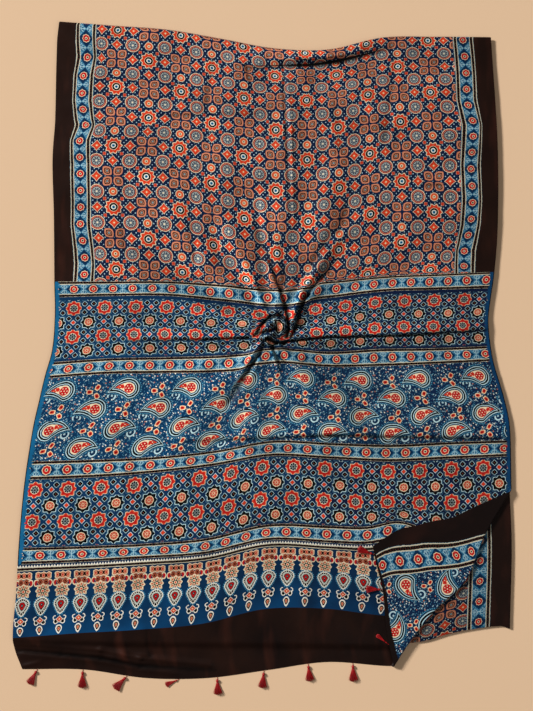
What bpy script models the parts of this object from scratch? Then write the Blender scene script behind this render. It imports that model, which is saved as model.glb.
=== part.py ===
"""A block-printed ajrakh saree, laid face up on the ground.

One long sheet goes back and forth in four layers. The top layer shows the field and, below it,
the end piece with its hem of tassels. It is pinched in the middle, its top fold stands up as
a lip, and its lower right corner is turned over to the front.

Metres, +Z up. X runs across the cloth and Y along it, with the tasselled hem at -Y. The origin
is under the middle of everything. The tables below give millimetres.
"""

import math

import bmesh
import bpy
import numpy as np

# Driving dimensions.
MM = 0.001
CLOTH_WIDTH = 1.12
SHEET_THICKNESS = 0.0012
LAYERS = 4
LAYER_PITCH = 0.0026
ROLL_RADIUS = LAYER_PITCH / 2
HEM_GAP = 0.0003

# How far the finished outline's middle lies from the tables' own origin.
CENTRE_SHIFT = (-0.00312, -0.00075)

# The top layer is drawn by its printed cross lines. Each row holds the line's distance from the
# hem along the cloth, then its height on the ground at nine stations from the left edge to the
# right one.
STATIONS = np.linspace(0, 1, 9)
CROSS_LINES = (
    # along, y at each station
    (0, -699, -700, -719, -719, -701, -683, -692, -690, -688),  # hem
    (120, -628, -617, -609, -596, -563, -562, -578, -573, -569),  # plain dark end
    (277, -463, -457, -449, -439, -409, -414, -421, -417, -412),  # fourth border
    (314, -426, -422, -416, -404, -373, -376, -382, -379, -374),
    (468, -273, -268, -258, -242, -220, -226, -232, -226, -220),  # third border
    (505, -232, -228, -222, -208, -185, -190, -194, -188, -184),
    (695, -46, -36, -34, -31, -13, -20, -18, -13, -7),  # second border
    (732, -10, -1, 2, 6, 20, 13, 20, 22, 27),
    (878, 136, 139, 139, 127, 116, 134, 149, 153, 157),  # first border
    (915, 171, 172, 172, 164, 153, 170, 183, 188, 193),
    (942, 199, 199, 194, 183, 166, 176, 192, 197, 197),  # rows of stars
    (1079, 339, 339, 335, 319, 305, 311, 327, 327, 327),
    (1216, 477, 477, 473, 458, 444, 448, 463, 466, 466),
    (1352, 610, 609, 600, 588, 576, 581, 594, 596, 596),
    (1475, 753, 744, 735, 715, 693, 690, 717, 719, 718),  # top fold
)

# Side edges of the stack, top to bottom.
LEFT_EDGE = (
    # y, x
    (753, -458),
    (706, -463),
    (540, -467),
    (444, -473),
    (320, -470),
    (175, -469),
    (94, -468),
    (18, -474),
    (-40, -490),
    (-99, -504),
    (-157, -517),
    (-280, -536),
    (-408, -548),
    (-531, -555),
    (-609, -562),
    (-650, -560),
    (-699, -542),
)
RIGHT_EDGE = (
    # y, x
    (719, 510),
    (674, 513),
    (553, 521),
    (428, 526),
    (264, 524),
    (186, 517),
    (137, 510),
    (85, 504),
    (45, 507),
    (-9, 516),
    (-87, 539),
    (-150, 552),
    (-289, 556),
    (-426, 561),
    (-605, 557),
    (-688, 557),
)

# The lower fold of the hidden layers, left to right.
LOWER_FOLD = (
    # x, y
    (-554, -630),
    (-321, -634),
    (-8, -636),
    (306, -639),
    (366, -634),
    (420, -618),
    (478, -607),
    (539, -600),
    (556, -606),
)
HIDDEN_INSET = 0.004  # each hidden layer is this much narrower at either side
HEM_DROP = 0.020  # past the lower fold the top layer comes down to the ground within this

# Soft folds and swells of the top layer: two ends with the height at each, and the half width.
FOLDS = (
    # x, y, height, x, y, height, half width
    (-10, 681, 6, 72, 674, 10, 13),  # lip of the top fold
    (72, 674, 10, 140, 679, 10, 13),
    (140, 679, 10, 216, 697, 8, 12),
    (216, 697, 8, 276, 711, 3, 10),
    (-70, 640, 3, -82, 240, 5, 34),  # long swells of the field
    (64, 630, 5, 44, 150, 9, 30),
    (190, 600, 3, 114, 170, 9, 28),
    (12, 58, 15, -92, 163, 4, 20),  # rays of the pinch
    (16, 62, 13, 50, 163, 5, 17),
    (30, 62, 13, 132, 172, 4, 20),
    (0, 50, 12, -270, 44, 2, 15),
    (56, 44, 11, 460, 58, 3, 15),
    (20, 40, 12, 34, -150, 3, 18),
    (0, 36, 11, -84, -140, 3, 19),
    (40, 36, 10, 185, -66, 3, 19),
    (-70, -196, 3, 530, -180, 4, 15),  # crease through the paisleys
    (-540, -664, 3, -340, -676, 4, 11),  # pleat of the plain end
    (-340, -676, 4, -200, -708, 3, 12),
)

# The turned corner: where its fold meets the right edge and the hem, in the cloth's own
# measures, and where the corner itself comes to lie.
CORNER_UP_EDGE = 0.399
CORNER_ALONG_HEM = 0.273
CORNER_LANDS = (0.239, -0.419)
CORNER_ROLL = 0.0028
CORNER_LIFT = LAYER_PITCH
CORNER_SETTLE = 0.035

# Small shifts that bow the turned corner's three edges.
NUDGES = (
    # x, y, shift x, shift y, reach
    (420, -480, 22, -10, 75),  # middle of the fold
    (395, -365, 0, -14, 55),  # its upper edge, near the right
    (300, -395, 0, 18, 50),  # and near the corner
    (268, -520, 8, 0, 60),  # its edge with the tassels
)

# Mesh rows: along the top layer, with more of them where it is pinched.
ROW_RUNS = (
    # from, to (metres along the cloth), rows
    (0.0, 0.120, 4),
    (0.120, 0.732, 14),
    (0.732, 0.942, 9),
    (0.942, 1.352, 9),
)
TOP_ROWS = 6
ROLL_ROWS = 4
HIDDEN_ROWS = (6, 2, 2)
COLUMN_RUNS = (
    # from, to (parts of the width), columns
    (0.0, 0.06, 2),
    (0.06, 0.38, 6),
    (0.38, 0.66, 9),
    (0.66, 0.94, 5),
    (0.94, 1.0, 2),
)
CORNER_CUTS = (0.0, 0.003, 0.006, 0.010, 0.030, 0.060, 0.110, 0.170)

# Tassels: place along the hem, heading of the skirt, whole length and skirt width.
TASSELS = (
    # part of the width, heading in degrees, length, width
    (0.030, -118, 37, 22),
    (0.122, -92, 40, 23),
    (0.211, -134, 39, 24),
    (0.317, -158, 32, 14),
    (0.396, -88, 38, 23),
    (0.492, -96, 38, 23),
    (0.585, -84, 38, 23),
    (0.677, -88, 40, 24),
    (0.808, 142, 34, 10),
    (0.918, 178, 36, 19),
    (0.985, 160, 38, 20),
)
TASSEL_FLATNESS = 0.3
KNOT_RADIUS = 0.001
SKIRT_TURN = 0.002  # a skirt is widest this far before its end
TASSEL_STEPS = 12

CLOTH_BLUE = (0.018, 0.055, 0.150, 1.0)
TASSEL_RED = (0.290, 0.006, 0.009, 1.0)


def column(table, index):
    return np.array([row[index] for row in table], float) * MM


ALONG = column(CROSS_LINES, 0)
HEIGHTS = np.array([row[1:] for row in CROSS_LINES], float) * MM
LAST_STAR_ROW = ALONG[-2]
TOP_FOLD = ALONG[-1]


def weights(knots, at):
    """A row of cubic weights on the knots for each place in at."""
    knots, at = np.asarray(knots, float), np.atleast_1d(np.asarray(at, float))
    last = len(knots) - 1
    i = np.clip(np.searchsorted(knots, at) - 1, 0, last - 1)
    span = knots[i + 1] - knots[i]
    t = np.clip((at - knots[i]) / span, 0, 1)
    found = np.zeros((len(at), last + 1))
    row = np.arange(len(at))
    np.add.at(found, (row, i), 2 * t**3 - 3 * t**2 + 1)
    np.add.at(found, (row, i + 1), 3 * t**2 - 2 * t**3)
    for end, rise in ((i, t**3 - 2 * t**2 + t), (i + 1, t**3 - t**2)):
        before, after = np.maximum(end - 1, 0), np.minimum(end + 1, last)
        slope = rise * span / (knots[after] - knots[before])
        np.add.at(found, (row, after), slope)
        np.add.at(found, (row, before), -slope)
    return found


def edge_x(table, y):
    rows = sorted(table)
    return weights(column(rows, 0), y) @ column(rows, 1)


def across(s, y, inset=0.0):
    """X of a part of the width at a height on the ground."""
    left = edge_x(LEFT_EDGE, y) + inset
    right = edge_x(RIGHT_EDGE, y) - inset
    return left + s * (right - left)


def top_fold_y(s):
    return weights(STATIONS, s) @ HEIGHTS[-1]


def lower_fold_y(s):
    x = across(s, np.full(len(s), LOWER_FOLD[0][1] * MM))
    return weights(column(LOWER_FOLD, 0), x) @ column(LOWER_FOLD, 1)


def relief(x, y):
    """Height of the soft folds at a place on the ground."""
    total = np.zeros(len(x))
    for row in FOLDS:
        x0, y0, h0, x1, y1, h1, half = (value * MM for value in row)
        dx, dy = x1 - x0, y1 - y0
        t = np.clip(((x - x0) * dx + (y - y0) * dy) / (dx * dx + dy * dy), 0, 1)
        off = np.hypot(x - x0 - t * dx, y - y0 - t * dy)
        ridge = (h0 + t * (h1 - h0)) * np.exp(-((off / half) ** 2))
        total = np.hypot(total, ridge)
    return total


def layer_z(layer):
    """Height of a layer's middle, counted from 1 at the bottom."""
    return SHEET_THICKNESS / 2 + (layer - 1) * LAYER_PITCH


def smooth(t):
    t = np.clip(t, 0, 1)
    return t * t * (3 - 2 * t)


def top_layer(s, along):
    """The top layer before its corner is turned."""
    y = np.einsum("pi,ij,pj->p", weights(ALONG, along), HEIGHTS, weights(STATIONS, s))
    x = across(s, y)
    past = lower_fold_y(s) - y
    fall = (LAYERS - 1) * LAYER_PITCH * smooth(past / HEM_DROP)
    hem = smooth(along / 0.02)
    z = layer_z(LAYERS) - fall + relief(x, y) * hem
    return np.stack([x, y, z], axis=1)


def turned(s, along, flat):
    """Turns the lower right corner over to the front."""
    up = along / CORNER_UP_EDGE
    hem = (1 - s) * CLOTH_WIDTH / CORNER_ALONG_HEM
    corner = 1 - up - hem
    inside = corner > 0
    if not inside.any():
        return flat
    slant = math.hypot(CORNER_UP_EDGE, CORNER_ALONG_HEM)
    reach = CORNER_UP_EDGE * CORNER_ALONG_HEM / slant
    up_share = (CORNER_ALONG_HEM / slant) ** 2

    def on_fold(up_part):
        return top_layer(1 - (1 - up_part) * CORNER_ALONG_HEM / CLOTH_WIDTH, up_part * CORNER_UP_EDGE)

    up_part = np.clip(up + corner * up_share, 0, 1)[inside]
    foot = on_fold(up_part)
    first, last = on_fold(np.array([1.0]))[0], on_fold(np.array([0.0]))[0]
    outward = np.array([last[1] - first[1], first[0] - last[0]])
    outward /= np.hypot(*outward)
    outward *= np.sign(outward[0])
    swing = np.array(CORNER_LANDS) - on_fold(np.array([up_share]))[0][:2]

    past = corner[inside] * reach
    angle = np.clip(past / CORNER_ROLL, 0, math.pi)
    beyond = np.clip(past - math.pi * CORNER_ROLL, 0, None)
    settle = CORNER_LIFT + (2 * CORNER_ROLL - CORNER_LIFT) * np.exp(-beyond / CORNER_SETTLE)
    lift = np.where(beyond > 0, settle, CORNER_ROLL * (1 - np.cos(angle)))
    base = np.full(len(foot), layer_z(LAYERS))
    plan = foot[:, :2] + np.outer(np.sin(angle) * CORNER_ROLL, outward)
    plan = plan + np.outer(beyond / reach, swing)
    found = flat.copy()
    found[inside] = np.column_stack([plan, np.maximum(foot[:, 2], base) + lift])
    return found


def nudged(points):
    shift = np.zeros((len(points), 2))
    for row in NUDGES:
        x, y, shift_x, shift_y, reach = (value * MM for value in row)
        near = np.exp(-((points[:, 0] - x) ** 2 + (points[:, 1] - y) ** 2) / reach**2)
        shift += np.outer(near, (shift_x, shift_y))
    return points + np.column_stack([shift, np.zeros(len(points))])


def place(s, stage):
    """A point of the sheet. Stage 0 to 1 is the top layer from hem to top fold, then a whole
    number is passed at the end of each roll and each hidden layer."""
    s, stage = np.asarray(s, float), np.asarray(stage, float)
    found = np.zeros((len(s), 3))
    for step in range(2 * LAYERS - 1):
        here = (stage >= step) & ((stage < step + 1) | (step == 2 * LAYERS - 2))
        if not here.any():
            continue
        part, t = s[here], stage[here] - step
        if step == 0:
            along = t * TOP_FOLD
            flat = top_layer(part, along)
            found[here] = nudged(turned(part, along, flat))
            continue
        layer = LAYERS - (step + 1) // 2
        inset = HIDDEN_INSET * (LAYERS - layer)
        top, low = top_fold_y(part), lower_fold_y(part)
        upward = (LAYERS - layer) % 2 == 0
        if step % 2:
            # A half turn from the layer above down to this one, at the top or the lower fold.
            bulge = ROLL_RADIUS * np.sin(t * math.pi)
            y = np.where(upward, low - bulge, top + bulge)
            z = layer_z(layer) + ROLL_RADIUS * (1 + np.cos(t * math.pi))
            above_inset = HIDDEN_INSET * (LAYERS - layer - 1)
            x = across(part, y, above_inset + (inset - above_inset) * t)
            z = z + relief(x, y) * (1 - t) * (layer == LAYERS - 1)
        else:
            y = np.where(upward, low + t * (top - low), top - t * (top - low))
            z = np.full(len(part), layer_z(layer))
            x = across(part, y, inset)
        found[here] = np.column_stack([x, y, z])
    found[:, 0] -= CENTRE_SHIFT[0]
    found[:, 1] -= CENTRE_SHIFT[1]
    return found


def runs(table):
    """The places that a table of runs gives, each once."""
    found = [table[0][0]]
    for start, end, count in table:
        found.extend(np.linspace(start, end, count + 1)[1:])
    return np.array(found)


def stages():
    """The mesh rows, as stages of the sheet."""
    found = list(runs(ROW_RUNS) / TOP_FOLD)
    found.extend(np.linspace(LAST_STAR_ROW / TOP_FOLD, 1, TOP_ROWS + 1)[1:])
    for turn, rows in enumerate(HIDDEN_ROWS):
        start = 2 * turn + 1
        found.extend(start + np.linspace(0, 1, ROLL_ROWS + 1)[1:])
        found.extend(start + 1 + np.linspace(0, 1, rows + 1)[1:])
    return np.array(found)


def material(name, colour, roughness):
    made = bpy.data.materials.new(name)
    made.use_nodes = True
    shader = made.node_tree.nodes["Principled BSDF"]
    shader.inputs["Base Color"].default_value = colour
    shader.inputs["Roughness"].default_value = roughness
    shader.inputs["Metallic"].default_value = 0.0
    return made


def new_object(name, mesh, collection, finish):
    made = bpy.data.objects.new(name, mesh)
    made.data.materials.append(finish)
    collection.objects.link(made)
    return made


def make_cloth(collection, finish):
    """Makes the sheet, and gives its hem: parts of the width, and the points there."""
    columns, rows = runs(COLUMN_RUNS), stages()
    sheet = bmesh.new()
    bmesh.ops.create_grid(sheet, x_segments=len(columns) - 1, y_segments=len(rows) - 1, size=0.5)
    for vert in sheet.verts:
        across_at = round((vert.co.x + 0.5) * (len(columns) - 1))
        row_at = round((vert.co.y + 0.5) * (len(rows) - 1))
        vert.co = (columns[across_at] * CLOTH_WIDTH, rows[row_at] * TOP_FOLD, 0)

    # Cuts along the turned corner's fold, square to its slope in the flat cloth.
    normal = np.array([CORNER_UP_EDGE, -CORNER_ALONG_HEM]) / math.hypot(CORNER_UP_EDGE, CORNER_ALONG_HEM)
    start = np.array([CLOTH_WIDTH, CORNER_UP_EDGE])
    for cut in CORNER_CUTS:
        at = start + normal * cut
        geometry = list(sheet.verts) + list(sheet.edges) + list(sheet.faces)
        bmesh.ops.bisect_plane(sheet, geom=geometry, dist=0.0002, plane_co=(*at, 0), plane_no=(*normal, 0))

    bmesh.ops.triangulate(sheet, faces=list(sheet.faces))
    flat = np.array([vert.co[:] for vert in sheet.verts])
    points = place(flat[:, 0] / CLOTH_WIDTH, flat[:, 1] / TOP_FOLD)
    for vert, point in zip(sheet.verts, points):
        vert.co = point
    on_hem = np.flatnonzero(flat[:, 1] == 0)
    on_hem = on_hem[np.argsort(flat[on_hem, 0])]
    mesh = bpy.data.meshes.new("cloth")
    sheet.to_mesh(mesh)
    sheet.free()
    cloth = new_object("cloth", mesh, collection, finish)
    mesh.shade_smooth()
    thick = cloth.modifiers.new("Thickness", "SOLIDIFY")
    thick.thickness = SHEET_THICKNESS
    thick.offset = 0
    return flat[on_hem, 0] / CLOTH_WIDTH, points[on_hem]


def tassel_profile(length, width):
    """Radius of a tassel against the distance from its knot."""
    thread, half = 4 * MM, width * MM / 2
    head = thread + 6 * MM
    return (
        (-KNOT_RADIUS, 0),
        (-0.6 * KNOT_RADIUS, 0.8 * KNOT_RADIUS),
        (0, KNOT_RADIUS),
        (1.5 * KNOT_RADIUS, 0.7 * KNOT_RADIUS),
        (thread, 0.8 * KNOT_RADIUS),
        (thread + 2 * MM, 0.20 * half),
        (head, 0.26 * half),
        (head + 3 * MM, 0.36 * half),
        (length * MM - SKIRT_TURN, half),
        (length * MM, 0.93 * half),
        (length * MM, 0),
    )


def make_tassel(number, row, hem_line, collection, finish):
    part, heading, length, width = row
    parts, points = hem_line
    after = np.searchsorted(parts, part)
    before, beyond = points[after - 1], points[after]
    hem = before + (beyond - before) * (part - parts[after - 1]) / (parts[after] - parts[after - 1])
    # The hem runs with the cloth on its left, also where the corner is turned face down.
    outward = np.array([beyond[1] - before[1], before[0] - beyond[0]])
    outward /= np.hypot(*outward)
    on_cloth = hem[2] > layer_z(LAYERS)
    if on_cloth:
        outward = -outward

    mesh = bpy.data.meshes.new("tassel")
    outline = bmesh.new()
    verts = [outline.verts.new((radius, 0, -far)) for far, radius in tassel_profile(length, width)]
    for upper, lower in zip(verts, verts[1:]):
        outline.edges.new((upper, lower))
    outline.to_mesh(mesh)
    outline.free()
    tassel = new_object(f"tassel_{number:02d}", mesh, collection, finish)
    turn = tassel.modifiers.new("Turned", "SCREW")
    turn.steps = turn.render_steps = TASSEL_STEPS
    turn.use_merge_vertices = True
    turn.merge_threshold = 0.00001

    ground = layer_z(LAYERS) + SHEET_THICKNESS / 2 + HEM_GAP if on_cloth else 0.0
    start = hem[:2] + outward * (KNOT_RADIUS + HEM_GAP)
    start_z = max(hem[2], ground + KNOT_RADIUS)
    widest_z = ground + TASSEL_FLATNESS * width * MM / 2
    tilt = math.asin((widest_z - start_z) / (length * MM - SKIRT_TURN))
    tassel.location = (*start, start_z)
    tassel.scale = (TASSEL_FLATNESS, 1, 1)
    tassel.rotation_euler = (0, -math.pi / 2 - tilt, math.radians(heading))
    return tassel


def main():
    for old in list(bpy.data.objects):
        bpy.data.objects.remove(old, do_unlink=True)
    collection = bpy.data.collections.new("ajrakh_saree")
    bpy.context.scene.collection.children.link(collection)
    hem_line = make_cloth(collection, material("printed cloth", CLOTH_BLUE, 0.55))
    tassel_finish = material("tassel thread", TASSEL_RED, 0.6)
    for number, row in enumerate(TASSELS, 1):
        make_tassel(number, row, hem_line, collection, tassel_finish)


main()
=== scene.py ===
"""Looks of a block-printed ajrakh saree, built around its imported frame.

The sheet's shape repeats part.py's own tables and mapping, on a finer mesh with more creases, and
every print is worked out by shader nodes from the place on the cloth. Metres, in the frame's own
axes. The tables give millimetres, or pixels where they say so.
"""

import math

import bmesh
import bpy
import numpy as np
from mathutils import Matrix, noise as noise_field


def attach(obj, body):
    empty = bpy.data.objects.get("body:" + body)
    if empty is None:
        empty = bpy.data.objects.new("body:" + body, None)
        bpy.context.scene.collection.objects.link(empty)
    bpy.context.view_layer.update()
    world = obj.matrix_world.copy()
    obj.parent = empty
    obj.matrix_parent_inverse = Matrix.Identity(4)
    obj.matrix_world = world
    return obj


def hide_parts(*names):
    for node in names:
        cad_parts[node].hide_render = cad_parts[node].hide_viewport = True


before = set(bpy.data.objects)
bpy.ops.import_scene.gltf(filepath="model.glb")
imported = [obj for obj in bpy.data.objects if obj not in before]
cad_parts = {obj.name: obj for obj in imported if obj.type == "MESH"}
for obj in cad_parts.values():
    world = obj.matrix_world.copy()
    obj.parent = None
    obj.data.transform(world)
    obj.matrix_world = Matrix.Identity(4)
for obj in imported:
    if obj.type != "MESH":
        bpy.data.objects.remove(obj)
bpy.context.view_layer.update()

# ---------------------------------------------------------------- the sheet, as part.py has it

MM = 0.001
PX = 0.00224  # one unit of the print tables, a pixel of the photograph on the cloth
VIEW_MIDDLE = (263.5, 358.0)  # the tables' origin in those pixels
CLOTH_WIDTH = 1.12
SHEET_THICKNESS = 0.0012
SHOWN_THICKNESS = 0.0005
LAYERS = 4
LAYER_PITCH = 0.0026
ROLL_RADIUS = LAYER_PITCH / 2
HEM_GAP = 0.0003
CENTRE_SHIFT = (-0.00312, -0.00075)

STATIONS = np.linspace(0, 1, 9)
CROSS_LINES = (
    # along, y at each station
    (0, -699, -700, -719, -719, -701, -683, -692, -690, -688),  # hem
    (120, -628, -617, -609, -596, -563, -562, -578, -573, -569),  # plain dark end
    (277, -463, -457, -449, -439, -409, -414, -421, -417, -412),  # fourth border
    (314, -426, -422, -416, -404, -373, -376, -382, -379, -374),
    (468, -273, -268, -258, -242, -220, -226, -232, -226, -220),  # third border
    (505, -232, -228, -222, -208, -185, -190, -194, -188, -184),
    (695, -46, -36, -34, -31, -13, -20, -18, -13, -7),  # second border
    (732, -10, -1, 2, 6, 20, 13, 20, 22, 27),
    (878, 136, 139, 139, 127, 116, 134, 149, 153, 157),  # first border
    (915, 171, 172, 172, 164, 153, 170, 183, 188, 193),
    (942, 199, 199, 194, 183, 166, 176, 192, 197, 197),  # rows of stars
    (1079, 339, 339, 335, 319, 305, 311, 327, 327, 327),
    (1216, 477, 477, 473, 458, 444, 448, 463, 466, 466),
    (1352, 610, 609, 600, 588, 576, 581, 594, 596, 596),
    (1475, 753, 744, 735, 715, 693, 690, 717, 719, 718),  # top fold
)
LEFT_EDGE = (  # y, x
    (753, -458), (706, -463), (540, -467), (444, -473), (320, -470), (175, -469), (94, -468),
    (18, -474), (-40, -490), (-99, -504), (-157, -517), (-280, -536), (-408, -548), (-531, -555),
    (-609, -562), (-650, -560), (-699, -542),
)
RIGHT_EDGE = (  # y, x
    (719, 510), (674, 513), (553, 521), (428, 526), (264, 524), (186, 517), (137, 510), (85, 504),
    (45, 507), (-9, 516), (-87, 539), (-150, 552), (-289, 556), (-426, 561), (-605, 557), (-688, 557),
)
LOWER_FOLD = (  # x, y
    (-554, -630), (-321, -634), (-8, -636), (306, -639), (366, -634), (420, -618), (478, -607),
    (539, -600), (556, -606),
)
HIDDEN_INSET = 0.004
HEM_DROP = 0.020
HEM_FLAT = 0.020  # the folds die out over this much cloth at the hem

# Where the cloth is drawn together, its print moves sideways: millimetres at each station.
DRAWN_IN = (
    # along, shift at each station
    (0, 0, 2, 3, 3, 2, 1, 0, 0, 0),
    (295, 0, 4, 5, 4, 2, 1, 0, 0, 0),
    (486, 0, 4, 9, 9, 4, 2, 1, 0, 0),
    (640, 0, 9, 18, 16, 6, 2, -2, -1, 0),
    (713, 0, 6, 13, 16, 14, 4, 2, 0, 0),
    (805, 0, 2, 5, 8, 13, 8, 4, 2, 0),
    (896, 0, 5, 11, 14, 14, 4, 1, -1, 0),
    (1079, 0, -2, 4, 5, 6, 5, 2, 2, 0),
    (1352, 0, 1, 5, 5, 5, 2, 0, -1, 0),
    (1475, 0, 1, 4, 4, 4, 2, 0, 0, 0),
)
# Chains of straight folds: x, y, height of a point, then a half width and the next point, and so on.
FOLDS = (
    (-10, 681, 6, 13, 72, 674, 10, 13, 140, 679, 10, 12, 216, 697, 8, 10, 276, 711, 3),
    (-70, 640, 3, 34, -82, 240, 5), (64, 630, 5, 30, 44, 150, 9), (190, 600, 3, 28, 114, 170, 9),
    (12, 58, 15, 20, -92, 163, 4), (16, 62, 13, 17, 50, 163, 5), (30, 62, 13, 20, 132, 172, 4),
    (0, 50, 12, 15, -270, 44, 2), (56, 44, 11, 15, 460, 58, 3), (20, 40, 12, 18, 34, -150, 3),
    (0, 36, 11, 19, -84, -140, 3), (40, 36, 10, 19, 185, -66, 3), (-70, -196, 3, 15, 530, -180, 4),
    (-540, -664, 3, 11, -340, -676, 4, 12, -200, -708, 3),
)
CORNER_UP_EDGE = 0.399
CORNER_ALONG_HEM = 0.273
CORNER_LANDS = (0.239, -0.419)
CORNER_ROLL = 0.0028
CORNER_LIFT = LAYER_PITCH
CORNER_SETTLE = 0.035
NUDGES = (  # x, y, shift x, shift y, reach
    (420, -480, 22, -10, 75), (395, -365, 0, -6, 55), (300, -395, 0, 18, 50), (268, -520, 8, 0, 60),
)
# ---------------------------------------------------------------- the shape, and the painted shade of its folds, that only the looks have

CORNER_NUDGES = ((378, -378, 0, 12, 40),)  # the turned corner alone

# Finer chains of folds and hollows: places in pixels of the view, the rest as in FOLDS.
CREASES = (
    # The fold that runs up from the pinch.
    (290, 335, 6, 5, 292, 322, 9, 5, 296, 306, 9, 5, 302, 291, 8, 7, 318, 267, 5, 9, 336, 242, 3, 10,
     366, 213, 1),
    # The hollows on both sides of it.
    (255, 226, -1, 7, 270, 262, -4, 5, 281, 290, -7, 4, 286, 308, -10, 3.5, 289, 324, -10, 3.5, 287,
     337, -9),
    (343, 250, -2, 6, 322, 278, -4, 5, 305, 297, -7, 4, 299, 312, -10, 3.5, 296, 326, -10, 3.5, 291,
     337, -8),
    # The loop of the twist, with a deep line round it.
    (258, 331, -7, 3.5, 263, 323, -8, 3.5, 270, 317, -9, 3.5, 279, 315, -9, 3.5, 287, 320, -9),
    (266, 330, 7, 4, 270, 323, 8, 4, 277, 321, 9, 4, 283, 326, 9, 4, 281, 334, 8),
    (270, 331, -7, 3, 275, 328, -7, 3, 279, 331, -6),
    (255, 335, -7, 3.5, 264, 332, -9, 3, 271, 331, -6), (264, 338, 6, 2.4, 273, 333, 8),
    (267, 335, 6, 2.4, 278, 341, 5),
    (259, 342, -5, 3, 268, 339, -8, 3.5, 276, 343, -9, 3.5, 286, 343, -9),
    (262, 345, -4, 5, 275, 348, -5),
    # Folds that run down from it.
    (262, 340, 7, 4, 254, 352, 6, 5, 244, 369, 4, 8, 232, 390, 2),
    (262, 350, -6, 4, 253, 364, -7, 5, 243, 380, -5, 8, 226, 404, -3), (283, 346, -4, 5, 292, 354, -3),
    (267, 343, 9, 3, 272, 353, 9, 3, 278, 370, 4), (272, 347, -5, 3, 278, 361, -4),
    (287, 346, 3, 6, 303, 357, 3, 9, 320, 364, 1),
    # Crease to the right edge, in a swell of its own.
    (300, 334, 5, 18, 400, 332, 5, 18, 486, 327, 3),
    (285, 342, -10, 3, 320, 338, -9, 3, 400, 336, -8, 3, 486, 331, -5),
    # And to the left.
    (130, 340, 2, 18, 240, 337, 5), (130, 341, -3, 3, 205, 340, -6, 3, 248, 338, -9),
    # Crease through the paisleys.
    (190, 439, 2, 18, 330, 433, 5, 18, 500, 436, 4), (186, 442, -3, 3, 330, 436, -8, 3, 500, 439, -6),
    # Soft runs of the field.
    (199, 185, 1, 9, 206, 262, 3), (210, 188, -1, 8, 216, 262, -3), (262, 196, 2, 8, 272, 284, 5),
    (255, 210, -1, 8, 262, 290, -4), (232, 235, 1, 8, 262, 304, 5), (313, 262, -3, 9, 331, 232, -2),
    (280, 240, -1, 8, 284, 284, -4), (283, 62, -1, 3.5, 286, 130, -3, 3.5, 290, 222, -1),
    (287, 62, 1, 4, 291, 130, 3, 4, 294, 222, 1), (118, 196, -1, 5, 124, 250, -4),
    (124, 200, 1, 6, 130, 250, 3), (187, 205, -1, 4, 194, 262, -4), (194, 205, 1, 5, 200, 262, 3),
    (214, 52, -1, 5, 205, 110, -3), (246, 66, -3, 4, 252, 90, -1), (334, 90, -1, 6, 340, 150, -3),
    (395, 55, -1, 6, 384, 140, -3), (402, 55, 1, 6, 391, 140, 2), (352, 190, -1, 6, 338, 232, -4),
    (160, 115, -2, 3.5, 256, 114, -2), (160, 110, 1, 7, 256, 109, 1), (424, 186, -3, 3.5, 442, 184, -3),
    (366, 98, 2, 5, 376, 126, 2), (300, 62, 2, 14, 318, 150, 2),
    # Under the lip of the top fold.
    (262, 64, -1, 4, 300, 66, -2, 4, 342, 62, -3, 4, 380, 51, -1),
    (272, 60, 3, 5, 330, 58, 5, 5, 384, 46, 2),
    # Slack of the end piece.
    (300, 470, 2, 14, 245, 520, 1), (120, 480, 1, 13, 135, 545, 2), (420, 470, 1, 12, 400, 510, 2),
    (150, 372, 2, 12, 96, 440, 1), (400, 352, 2, 12, 452, 420, 1), (190, 590, 2, 12, 240, 640, 1),
    (310, 560, 2, 12, 300, 640, 2),
    # Pleat of the dark end.
    (16, 645, 2, 6, 100, 650, 4, 6, 140, 658, 5, 6, 210, 665, 3),
    (14, 651, -2, 4, 60, 655, -6, 4, 100, 659, -7, 4, 140, 667, -7, 4, 215, 671, -3),
    (146, 630, -1, 5, 150, 656, -4), (120, 634, 1, 8, 124, 656, 3), (22, 668, 3, 5, 40, 662, 1),
    (290, 625, 1, 10, 300, 662, 2), (340, 622, 1, 8, 344, 662, 2),
)
# The side borders wander where the cloth is slack: millimetres to the right at the left and right one.
WANDER = (  # y, left, right
    (753, -2, -4), (674, 7, 1), (634, -2, 2), (578, -5, 0), (538, 2, 9), (522, 8, 13), (488, -5, 9),
    (432, 0, 2), (354, -1, 6), (298, -4, 2), (242, 3, -10), (209, 5, -7), (165, 0, 0),
)
BORDER_MIDDLES = (0.064, 0.936)
WANDER_WIDTH = 0.035

# Where cloth is taken up in a crease: both sides move towards the line.
TAKEN_UP = (  # x, y, x, y in pixels of the view, millimetres taken up on each side
    (274, 276, 288, 326, 6), (326, 270, 292, 330, 6), (256, 326, 281, 315, 4), (258, 343, 286, 343, 4),
    (288, 342, 380, 336, 2), (254, 352, 228, 396, 5),
)
TAKEN_WIDTH = 0.0085
TAKEN_REACH = 0.032
TAKEN_PAST = 0.25  # parts of a line's length that its pull reaches past both ends
TAKEN_FADE = 0.4

# Folds grow less above the high fold, by a share, and hollows stop at a share of the layers' pitch.
HIGH_FOLD = 0.024
HIGH_SHARE = 0.3
HOLLOW_SHARE = 0.4

TWIST = (273, 330)  # its middle in pixels of the view
TWIST_ANGLE = -1.7
TWIST_REACH = 0.021

# Crumples that run out from the pinch, and small ones everywhere; the ones from the pinch also give
# painted shade in streaks.
PINCH = (272, 332)
RAYS = 5.0  # to a radian
RAY_HEIGHT = 0.0042
RAY_START = 0.06
RAY_REACH = 0.30
SLACK = ((9.0, 6.0, 0.0017), (24.0, 30.0, 0.0007), (60.0, 75.0, 0.00022))  # per metre, height
APART = 7.3  # between two random fields

# Painted shade down in a fold's hollows and painted light along its sharp ridges: heights in millimetres
# where about two thirds is reached.
HOLLOW_DARK = 0.92
HOLLOW_HEIGHT = 3.5
RIDGE_LIGHT = 0.5
RIDGE_HEIGHT = 6
SHARP_FOLD = 9  # half width of the widest fold that counts as sharp

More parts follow.
